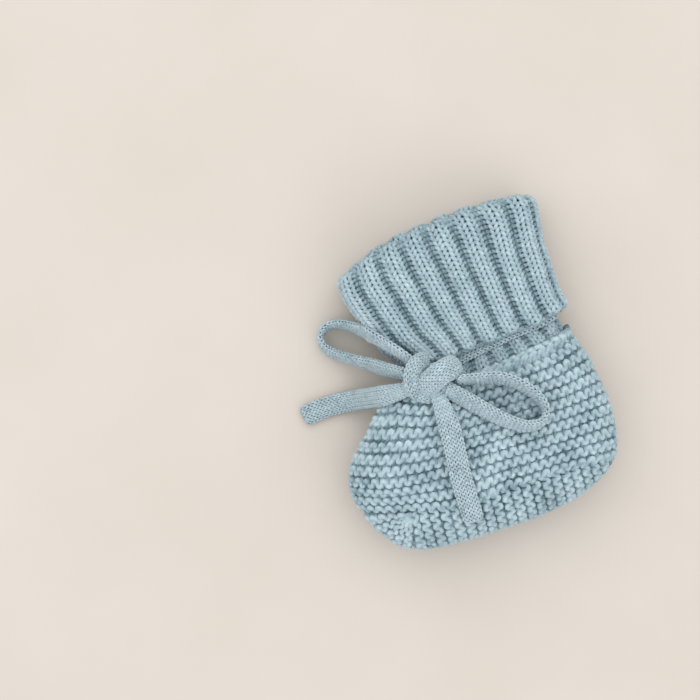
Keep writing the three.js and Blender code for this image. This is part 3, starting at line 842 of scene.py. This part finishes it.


# ---------------------------------------------------------------- dark sheets behind the yarns: painted shade seen through the gaps between stitches
def shell(name, grid, closed, off, material):
    g = np.asarray(grid)
    du = (np.roll(g, -1, 1) - np.roll(g, 1, 1)) if closed else np.gradient(g, axis=1)
    n = np.cross(du, np.gradient(g, axis=0))
    n /= np.maximum(np.linalg.norm(n, axis=2, keepdims=True), 1e-9)
    q = g + n * off
    q[..., 2] = np.maximum(q[..., 2], 0.5)
    nv, nu = q.shape[:2]
    verts = metres(q.reshape(-1, 3))
    I, J = np.meshgrid(np.arange(nv - 1), np.arange(nu if closed else nu - 1), indexing="ij")
    J2 = (J + 1) % nu
    faces = np.stack([I * nu + J, I * nu + J2, (I + 1) * nu + J2, (I + 1) * nu + J], -1).reshape(-1, 4)
    me = bpy.data.meshes.new(name)
    me.from_pydata(verts.tolist(), [], faces.tolist())
    me.update()
    me.polygons.foreach_set("use_smooth", np.ones(len(me.polygons), bool))
    me.materials.append(material)
    ob = bpy.data.objects.new(name, me)
    bpy.context.scene.collection.objects.link(ob)
    sol = ob.modifiers.new("wall", "SOLIDIFY")
    sol.thickness = 0.0006
    sol.offset = 0
    dep = bpy.context.evaluated_depsgraph_get()
    me2 = bpy.data.meshes.new_from_object(ob.evaluated_get(dep))
    ob.modifiers.clear()
    ob.data = me2
    return ob


sgnA = -1.25 if np.cross(gridA[20, 76] - gridA[20, 74], gridA[21, 75] - gridA[19, 75])[2] > 0 else 1.25
sgnB = -1.25 if np.cross(gridB[30, 11] - gridB[30, 9], gridB[31, 10] - gridB[29, 10])[2] > 0 else 1.25
sgnC = -1.0 if np.cross(out[20, NU // 4 + 1] - out[20, NU // 4 - 1], out[21, NU // 4] - out[19, NU // 4])[2] > 0 else 1.0
sgnD = -2.0 if np.cross(gridD[20, NUA // 4 + 1] - gridD[20, NUA // 4 - 1], gridD[21, NUA // 4] - gridD[19, NUA // 4])[2] > 0 else 2.0
depth_side = shell("foot_side_shade_shell", gridA[:-4, ::3], True, sgnA, M_SHADE)
depth_sole = shell("sole_shade_shell", gridB[3:, ::2], False, sgnB, M_SHADE)
depth_cuff = shell("cuff_shade_shell", out[1::2, ::3], True, sgnC * 1.75, M_SHADE)
depth_band = shell("ankle_shade_shell", gridD[::2, ::3], True, sgnD, M_SHADE)


# ---------------------------------------------------------------- heights that the cord lies on
def cover(x, y):
    x, y = np.asarray(x, float), np.asarray(y, float)
    z = np.where(rho(x, y) < 1, z_top(x, y), 0.0)
    q = to_leg(np.stack([x, y], -1))
    p, s = q[..., 0], q[..., 1]
    for (L, R, H, Mz, lo, hi) in ((LEG_LEFT, LEG_RIGHT, LEG_HALF, LEG_Z, -15, 46), (CUFF_LEFT, CUFF_RIGHT, CH, CM, None, None)):
        a = np.where(p < 0, table(L, s), table(R, s))
        if lo is None:
            ok = (s > s_bot(p) - 0.3) & (s < s_top(p)) & (np.abs(p) < a)
        else:
            ok = (s > lo) & (s < hi) & (np.abs(p) < a)
        zz = table(Mz, s) + table(H, s) * (1 - np.clip(np.abs(p) / a, 0, 1) ** CUFF_ROUND) ** (1 / CUFF_ROUND)
        z = np.where(ok, np.maximum(z, zz), z)
    return z


def lay(path, A, halfw, half_t, lift=0.35, n=120, smooth=6):
    """A cord's centreline, lifted clear of what lies under its whole section. A is the width direction at each point or one for all."""
    c = catmull(path, n)
    T = np.gradient(c, axis=0)
    T /= np.linalg.norm(T, axis=1, keepdims=True)
    Av = np.broadcast_to(np.asarray(A, float), c.shape) if np.ndim(A) == 1 else np.stack([np.interp(np.linspace(0, 1, len(c)), np.linspace(0, 1, len(A)), np.asarray(A)[:, k]) for k in range(3)], 1)
    W = Av - T * (Av * T).sum(1, keepdims=True)
    W /= np.linalg.norm(W, axis=1, keepdims=True)
    N = np.cross(T, W)
    need = np.full(len(c), -1e9)
    for a in np.linspace(0, 2 * np.pi, 12, endpoint=False):
        o = W * halfw * math.cos(a) + N * half_t * math.sin(a)
        q = c + o
        need = np.maximum(need, cover(q[:, 0], q[:, 1]) + lift - o[:, 2])
    z = np.maximum(c[:, 2], need)
    for _ in range(smooth):
        zz = z.copy()
        zz[1:-1] = (z[:-2] + 2 * z[1:-1] + z[2:]) / 4
        z = np.maximum(zz, need)
    c[:, 2] = z
    return c


# ---------------------------------------------------------------- knitted cord
def cord_knit(build, c, A, w, th, wales, row=1.50, r=0.36, close_ends=(False, False), taper=None, seg=14, core=None):
    """A flat tube of fine knit along c. A is the width direction. The section is an oval w by th."""
    c = np.asarray(c, float)
    L = np.linalg.norm(np.diff(c, axis=0), axis=1).sum()
    m = max(24, int(L / 0.5))
    k0 = np.linspace(0, 1, len(c))
    cc = resample(c, m)
    kk = np.linspace(0, 1, m)
    # smooth the tangent
    T = np.gradient(cc, axis=0)
    for _ in range(3):
        T[1:-1] = (T[:-2] + 2 * T[1:-1] + T[2:]) / 4
    T /= np.linalg.norm(T, axis=1, keepdims=True)
    if np.ndim(A) == 1:
        Av = np.broadcast_to(np.asarray(A, float), cc.shape)
    else:
        A = np.asarray(A, float)
        Av = np.stack([np.interp(kk, np.linspace(0, 1, len(A)), A[:, q]) for q in range(3)], 1)
    W = Av - T * (Av * T).sum(1, keepdims=True)
    W /= np.linalg.norm(W, axis=1, keepdims=True)
    N = np.cross(T, W)
    M = wales * 6
    a = np.linspace(0, 2 * np.pi, 2001)
    ex = 2.6
    sx = np.sign(np.cos(a)) * np.abs(np.cos(a)) ** (2 / ex)
    sy = np.sign(np.sin(a)) * np.abs(np.sin(a)) ** (2 / 2.2)
    wx = 0.5 * w - r * 0.9
    ty = 0.5 * th - r * 0.9
    ln = np.concatenate([[0], np.cumsum(np.hypot(np.diff(sx * wx), np.diff(sy * ty)))])
    pick = np.interp(np.linspace(0, ln[-1], M + 1)[:-1], ln, np.arange(2001)).astype(int)
    sx, sy = sx[pick], sy[pick]
    wk = np.full(m, wx) if taper is None else wx * np.interp(kk, taper[0], taper[1])
    tk = np.full(m, ty) if taper is None or len(taper) < 3 else ty * np.interp(kk, taper[0], taper[2])
    # the tube closes at a sewn end
    endk = np.ones(m)
    s_mm = kk * L
    if close_ends[0]:
        endk *= np.sqrt(np.clip(1 - (1 - np.clip(s_mm / 1.1, 0, 1)) ** 2, 0, 1)) * 0.92 + 0.08
    if close_ends[1]:
        endk *= np.sqrt(np.clip(1 - (1 - np.clip((L - s_mm) / 1.1, 0, 1)) ** 2, 0, 1)) * 0.92 + 0.08
    g = cc[:, None, :] + (wk * (0.25 + 0.75 * endk))[:, None, None] * sx[None, :, None] * W[:, None, :] + (tk * endk)[:, None, None] * sy[None, :, None] * N[:, None, :]
    rowsn = L / row
    surf = Surface(g, 0, rowsn, True)
    ctr = g.mean(1, keepdims=True)
    if ((surf.nm * (g - ctr)).sum(2)).mean() < 0:
        surf = Surface(g, 0, rowsn, True, flip=True)
    v = 0.55
    while v < rowsn - 0.35:
        t = np.arange(wales * seg) / seg
        st = np.floor(t).astype(int) % wales
        fr = t - np.floor(t)
        x = t + 0.27 * np.sin(4 * np.pi * t) + rng.normal(0, 0.03, wales)[st] * np.sin(np.pi * fr) ** 2
        y = v - 0.70 * np.cos(2 * np.pi * t) + rng.normal(0, 0.035, wales)[st] * np.sin(np.pi * fr) ** 2
        n = -0.30 * np.cos(4 * np.pi * t) + 0.02
        p0, nm = surf.at(x / wales, np.clip(y, 0, rowsn))
        p = p0 + nm * n[:, None]
        # random tone per stitch plus painted shade: what lies deeper in the cord's knit is coloured darker
        tint = rng.normal(0, 0.03, wales)[st] + 0.28 * (n - 0.16)
        build.tube(p, nm, r, 6, True, tint)
        v += 1.0
    # inner core that the yarns lie on, dark: painted shade seen through the gaps between stitches
    if core is not None:
        k = max(2, M // 26)
        gg = ctr + (g - ctr) * 0.86
        core.append(gg[2:-3:2, ::k])
    return g


def core_mesh(name, cores, material):
    verts, faces, n = [], [], 0
    for g in cores:
        nv, nu = g.shape[:2]
        verts.append(metres(g.reshape(-1, 3)))
        I, J = np.meshgrid(np.arange(nv - 1), np.arange(nu), indexing="ij")
        J2 = (J + 1) % nu
        faces += (n + np.stack([I * nu + J, I * nu + J2, (I + 1) * nu + J2, (I + 1) * nu + J], -1).reshape(-1, 4)).tolist()
        faces.append((n + np.arange(nu)[::-1]).tolist())
        faces.append((n + (nv - 1) * nu + np.arange(nu)).tolist())
        n += nv * nu
    me = bpy.data.meshes.new(name)
    me.from_pydata(np.concatenate(verts).tolist(), [], faces)
    me.update()
    me.materials.append(material)
    ob = bpy.data.objects.new(name, me)
    bpy.context.scene.collection.objects.link(ob)
    return ob


CW, CT = 7.2, 2.1
# width directions: the loops stand half on edge, their tops leaning up the leg
lean = math.radians(50)
A_LR = [[0.05, 0.50, 0.86], [0.10, 0.44, 0.90], [0.14, 0.36, 0.92], [0.20, 0.62, 0.76], [0.22, 0.88, 0.42]]
A_LL = [[0.22, 0.31, 0.92], [0.17, 0.24, 0.955], [0.07, 0.24, 0.965], [0.12, 0.36, 0.92], [0.16, 0.58, 0.80]]
LOOP_LEFT = [[-18.6, 14.6, 28.0], [-23.0, 20.4, 26.0], [-28.4, 26.6, 20.0], [-33.9, 32.2, 10.0], [-39.6, 35.9, 5.2], [-44.2, 36.6, 4.4],
             [-47.4, 34.2, 4.2], [-47.4, 30.4, 4.2], [-44.5, 26.6, 4.6], [-39.4, 23.0, 7.6], [-33.4, 19.2, 14.0], [-28.5, 16.0, 21.4], [-22.6, 12.6, 28.0]]
TAIL_LEFT = [[-22.4, 8.2, 29.6], [-26.4, 8.0, 28.2], [-31.0, 8.0, 24.0], [-35.4, 8.2, 17.6], [-39.4, 8.6, 10.4], [-43.6, 9.0, 4.6], [-48.3, 9.4, 2.2], [-55.0, 9.4, 1.7], [-61.7, 8.4, 1.7]]
LOOP_RIGHT = [[-7.4, 6.2, 31.0], [-0.9, 4.6, 33.0], [6.5, 2.7, 34.6], [12.2, -1.4, 35.2], [16.6, -7.0, 35.2], [17.8, -12.2, 35.2], [15.6, -15.4, 35.2],
              [10.7, -15.5, 35.2], [4.6, -11.8, 35.2], [-0.9, -6.8, 35.0], [-6.2, -1.2, 34.0], [-11.0, 3.6, 32.2], [-14.6, 7.4, 30.0]]
TAIL_RIGHT = [[-15.3, 4.2, 31.8], [-14.8, -1.6, 33.4], [-14.6, -8.4, 34.0], [-15.0, -16.0, 34.0], [-15.7, -24.4, 33.6], [-15.8, -30.6, 32.0], [-15.7, -36.4, 28.8], [-15.7, -41.2, 25.0]]
tapers = {"in": ([0, 0.10, 0.24, 1], [0.55, 0.75, 1.0, 1.0]), "both": ([0, 0.07, 0.18, 0.82, 0.93, 1], [0.66, 0.8, 1.0, 1.0, 0.86, 0.72])}
cords = {}


def free_cord(name, node, path, A, taper, close):
    c = lay(path, A, CW / 2, CT / 2)
    b, cores = Build(), []
    cord_knit(b, c, A, CW, CT, 10, taper=taper, close_ends=close, core=cores)
    ob = b.make(name, M_CORD)
    core = core_mesh(name + "_core", cores, M_SHADE_CORD)
    cc = metres(resample(c, 36))
    L = float(np.linalg.norm(np.diff(cc, axis=0), axis=1).sum())
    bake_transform(ob)
    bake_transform(core)
    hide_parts(node)
    cords[name] = (c, L)
    return ob


free_cord("bow_loop_left_knit", "bow_loop_left", LOOP_LEFT, A_LL, tapers["both"], (False, False))
free_cord("bow_loop_right_knit", "bow_loop_right", LOOP_RIGHT, A_LR, tapers["both"], (False, False))
free_cord("bow_tail_left_knit", "bow_tail_left", TAIL_LEFT, [0.06, 1.0, 0.12], tapers["in"], (False, True))
free_cord("bow_tail_right_knit", "bow_tail_right", TAIL_RIGHT, [1.0, -0.02, 0.02], tapers["in"], (False, True))

# ---------------------------------------------------------------- the knot: the cord's own turns
knot, kcore = Build(), []
turns = [
    # what lies under the visible turns
    ([[-22.4, 10.4, 25.6], [-19.0, 10.8, 27.4], [-14.6, 10.0, 28.2], [-9.8, 9.2, 27.6], [-6.8, 8.2, 25.4]], [[0.1, 1.0, 0.1], [0.0, 1, 0.0], [0.0, 1, 0.0]], 8.0, 4.4, 11),
    # low turn
    ([[-22.2, 7.8, 27.0], [-20.6, 5.2, 29.6], [-18.2, 3.9, 30.4], [-15.4, 3.9, 29.8], [-13.0, 5.0, 27.2]], [[0.6, 0.8, 0.2], [0.2, 0.95, 0.1], [-0.2, 0.95, 0.2]], 5.0, 3.2, 9),
    # left turn
    ([[-15.4, 15.4, 27.6], [-17.8, 15.4, 30.6], [-20.6, 13.2, 32.4], [-21.8, 9.8, 32.6], [-21.4, 6.8, 31.0], [-20.4, 5.4, 28.0]], [[-0.3, 1.0, 0.3], [-0.8, 0.6, 0.2], [-1.0, 0.0, 0.2], [-0.95, -0.4, 0.2]], 6.0, 3.4, 10),
    # front turn
    ([[-18.6, 5.6, 28.4], [-17.7, 7.0, 32.2], [-15.0, 8.8, 35.0], [-11.4, 10.3, 35.6], [-8.2, 10.8, 33.6], [-6.4, 10.8, 29.4]], [[-0.55, 0.8, 0.1], [-0.44, 0.88, 0.05], [-0.36, 0.93, 0.0], [-0.3, 0.95, 0]], 7.8, 4.6, 14),
]
for pth, A, w, th, nw in turns:
    cord_knit(knot, catmull(pth, 80), A, w, th, nw, row=1.25, r=0.37, core=kcore)
knot_ob = knot.make("bow_knot_knit", M_CORD)
knot_core = core_mesh("bow_knot_core", kcore, M_SHADE_CORD)

# the tie round the ankle, over the band and under the cuff's edge
ring, rcore = Build(), []
aa = np.linspace(math.radians(24), math.radians(154), 90)
s_t = -0.3
p, z = ring_point(aa, np.full(90, s_t), LEG_LEFT, LEG_RIGHT, LEG_HALF, LEG_Z, 1.1)
cord_line = leg_xyz(p, np.full(90, s_t) + 0.3 * np.sin(aa * 5), z)
cord_knit(ring, cord_line, [LE[0], LE[1], 0.0], 6.6, 2.0, 8, core=rcore)
aa = np.linspace(math.radians(154 + 50), math.radians(360 - 10), 90)
p, z = ring_point(aa, np.full(90, s_t), LEG_LEFT, LEG_RIGHT, LEG_HALF, LEG_Z, 0.9)
cord_knit(ring, leg_xyz(p, np.full(90, s_t), z), [LE[0], LE[1], 0.0], 6.6, 2.0, 8, core=rcore)
ring_ob = ring.make("ankle_tie_knit", M_CORD)
ring_core = core_mesh("ankle_tie_core", rcore, M_SHADE_CORD)

# ---------------------------------------------------------------- sewing yarn
def whip(build, line, nrm, pitch, reach, r=0.5, slant=0.35):
    L = np.linalg.norm(np.diff(line, axis=0), axis=1).sum()
    k = int(L / pitch)
    m = k * 12
    c = resample(line, m)
    T = np.gradient(c, axis=0)
    T /= np.linalg.norm(T, axis=1, keepdims=True)
    n = nrm(c)
    S = np.cross(T, n)
    S /= np.linalg.norm(S, axis=1, keepdims=True)
    t = np.linspace(0, k, m)
    q = c + S * (reach * np.sin(2 * np.pi * t))[:, None] + n * (0.55 * np.cos(2 * np.pi * t) - 0.75)[:, None]
    build.tube(q, n, r, 6, False, 0.0)


def grid_normal(surf, u, v):
    return surf.at(u, v)[1]


sew_n, sew_f, sew_b = Build(), Build(), Build()
xs = np.linspace(35.5, -32.0, 90)
near_line = np.column_stack([xs, seam_y(xs), z_top(xs, seam_y(xs), OFF) + 0.1])
far_line = np.column_stack([xs, seam_y(xs), np.maximum(z_bot(xs, seam_y(xs), OFF), 1.4)])


def n_top(c):
    e = 0.3
    gx = (z_top(c[:, 0] + e, c[:, 1]) - z_top(c[:, 0] - e, c[:, 1])) / (2 * e)
    gy = (z_top(c[:, 0], c[:, 1] + e) - z_top(c[:, 0], c[:, 1] - e)) / (2 * e)
    n = np.column_stack([-gx, -gy, np.ones(len(c))])
    return n / np.linalg.norm(n, axis=1, keepdims=True)


def n_bot(c):
    e = 0.3
    gx = (z_bot(c[:, 0] + e, c[:, 1]) - z_bot(c[:, 0] - e, c[:, 1])) / (2 * e)
    gy = (z_bot(c[:, 0], c[:, 1] + e) - z_bot(c[:, 0], c[:, 1] - e)) / (2 * e)
    n = np.column_stack([gx, gy, -np.ones(len(c))])
    return n / np.linalg.norm(n, axis=1, keepdims=True)


whip(sew_n, near_line, n_top, 3.3, 1.1)
whip(sew_f, far_line, n_bot, 3.3, 1.1)
vv = np.linspace(1.1, KROWS - 0.9, 60)
back_line, back_nrm = surfA.at(np.zeros(60), vv)
whip(sew_b, back_line, lambda c: np.column_stack([np.ones(len(c)), 0 * c[:, 0], 0 * c[:, 0]]), 3.6, 0.9)

# ---------------------------------------------------------------- pieces to bodies
def done(ob, slot, *nodes):
    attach(ob, "bootie")
    if nodes:
        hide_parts(*nodes)
    return ob


done(foot_a.make("foot_side_knit_low", M_KNIT), "garter_knit", "foot_near_side", "foot_far_side")
done(foot_b.make("foot_side_knit_high", M_KNIT), "garter_knit", "foot_near_side", "foot_far_side")
done(sole_a.make("sole_strip_knit", M_KNIT), "garter_knit", "sole_strip")
done(sole_b.make("toe_knit", M_KNIT), "garter_knit", "sole_strip")
done(cuff_a.make("cuff_knit_low", M_RIB), "rib_knit", "cuff_turn_down")
done(cuff_b.make("cuff_knit_high", M_RIB), "rib_knit", "cuff_turn_down")
done(cuff_c.make("leg_knit_inside", M_RIB), "rib_knit", "leg_rib")
done(band.make("ankle_band_knit", M_RIB), "rib_knit", "ankle_band")
done(depth_side, "garter_knit")
done(depth_sole, "garter_knit")
done(depth_cuff, "rib_knit")
done(depth_band, "rib_knit")
done(knot_ob, "tie_cord", "bow_knot")
done(knot_core, "tie_cord")
done(ring_ob, "tie_cord", "ankle_tie")
done(ring_core, "tie_cord")
done(sew_n.make("sole_seam_near_yarn", M_SEW), "sewing_yarn", "sole_seam_near")
done(sew_f.make("sole_seam_far_yarn", M_SEW), "sewing_yarn", "sole_seam_far")
done(sew_b.make("back_seam_yarn", M_SEW), "sewing_yarn", "back_seam")

# ---------------------------------------------------------------- floor
fl = bpy.data.meshes.new("floor")
fl.from_pydata([(-3, -3, -0.0004), (3, -3, -0.0004), (3, 3, -0.0004), (-3, 3, -0.0004)], [], [(0, 1, 2, 3)])
floor = bpy.data.objects.new("floor", fl)
bpy.context.scene.collection.objects.link(floor)
mf, nt, b = mat_base("pale_floor")
b.inputs["Roughness"].default_value = 0.9
b.inputs["Specular IOR Level"].default_value = 0.1
tc = nt.nodes.new("ShaderNodeTexCoord")
ns = nt.nodes.new("ShaderNodeTexNoise")
ns.inputs["Scale"].default_value = 14
ns.inputs["Detail"].default_value = 6
nt.links.new(tc.outputs["Object"], ns.inputs["Vector"])
rp = nt.nodes.new("ShaderNodeValToRGB")
rp.color_ramp.elements[0].position = 0.3
rp.color_ramp.elements[0].color = (0.600, 0.545, 0.485, 1)
rp.color_ramp.elements[1].position = 0.75
rp.color_ramp.elements[1].color = (0.640, 0.590, 0.530, 1)
nt.links.new(ns.outputs["Fac"], rp.inputs["Fac"])
nt.links.new(rp.outputs["Color"], b.inputs["Base Color"])
fl.materials.append(mf)

print("CORDS", {k: round(v[1] * 1000, 1) for k, v in cords.items()})
